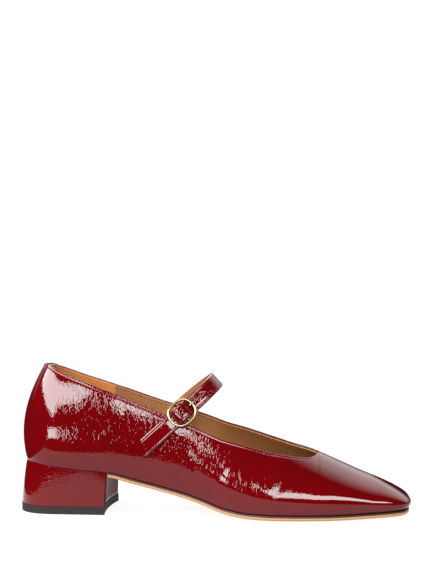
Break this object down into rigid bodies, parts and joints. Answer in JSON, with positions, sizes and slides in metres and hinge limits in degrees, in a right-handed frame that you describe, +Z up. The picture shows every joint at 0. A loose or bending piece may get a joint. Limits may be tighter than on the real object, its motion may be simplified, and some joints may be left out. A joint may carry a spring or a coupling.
{
  "type": "mary jane shoe",
  "caption": "Low-heeled mary jane for the right foot: patent upper, narrow squared toe, block heel, and an instep strap through an oval buckle on the outer side.",
  "frame": {"origin": "on the floor, under the middle of the shoe's box", "axes": "+X to the toe, +Y to the inner side of the foot, +Z up"},
  "size_m": [0.2482, 0.0802, 0.0935],
  "materials": {
    "patent": "crinkled patent, dark red, with a tan leather lining",
    "strap_patent": "crinkled patent, dark red, lined in tan leather",
    "heel_cover": "crinkled patent, dark red, over a moulded heel",
    "sole_leather": "smooth tan leather with a dark painted edge",
    "sock_leather": "matt tan leather",
    "top_piece_rubber": "matt dark brown",
    "buckle_metal": "polished pale gold"
  },
  "bodies": {
    "root": {"upper": "patent", "outsole": "sole_leather", "heel_block": "heel_cover", "heel_top_piece": "top_piece_rubber", "insole": "sock_leather", "strap": "strap_patent", "buckle_frame": "buckle_metal", "buckle_prong": "buckle_metal", "buckle_chape": "strap_patent"}
  },
  "joints": []
}
